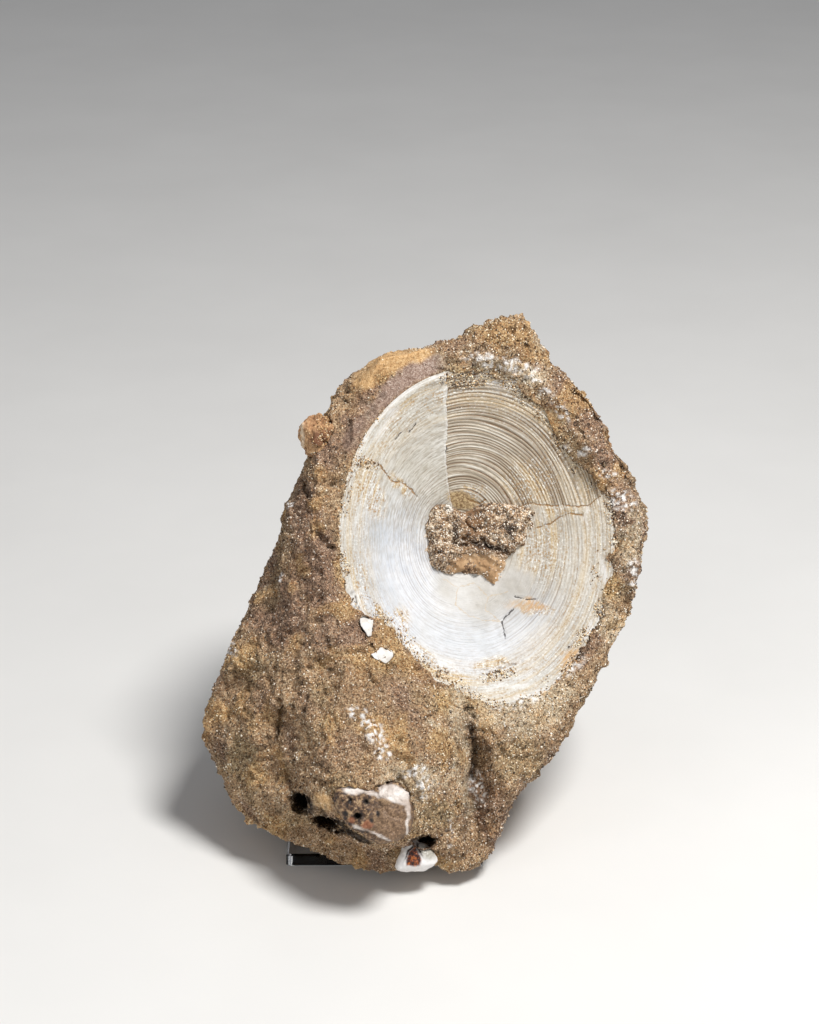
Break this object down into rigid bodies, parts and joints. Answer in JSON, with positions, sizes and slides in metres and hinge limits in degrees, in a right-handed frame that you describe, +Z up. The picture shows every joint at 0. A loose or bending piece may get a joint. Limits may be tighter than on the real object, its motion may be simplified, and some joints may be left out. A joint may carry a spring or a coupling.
{
  "type": "fossil fish vertebra in rock on a stand",
  "caption": "Hollowed disc-shaped fish vertebra with growth rings, set in a block of brown sandy rock that leans back on a small clear display stand.",
  "frame": {"origin": "centre of the underside of the stand's base plate", "axes": "+X to the right of someone facing the vertebra, +Y from the face to the back of the stand, +Z up"},
  "size_m": [0.0935, 0.091, 0.1077],
  "materials": {
    "sandy_rock": "coarse sandy grains, matt brown",
    "fossil_bone": "off-white, chalky in places, ochre stains between the rings",
    "hollow_rock": "crumbly sandy lump, with smooth tan clay at its foot",
    "spongy_bone": "porous brown, with a pale rim",
    "white_enamel": "smooth white, with an amber core",
    "orange_clay": "smooth matt orange-tan",
    "clear_acrylic": "clear and polished"
  },
  "bodies": {
    "root": {"rock_matrix": "sandy_rock", "vertebra": "fossil_bone", "cone_fill": "hollow_rock", "bone_fragment": "spongy_bone", "tooth_fragment": "white_enamel", "orange_nodule": "orange_clay", "stand_base": "clear_acrylic", "stand_back": "clear_acrylic"}
  },
  "joints": []
}
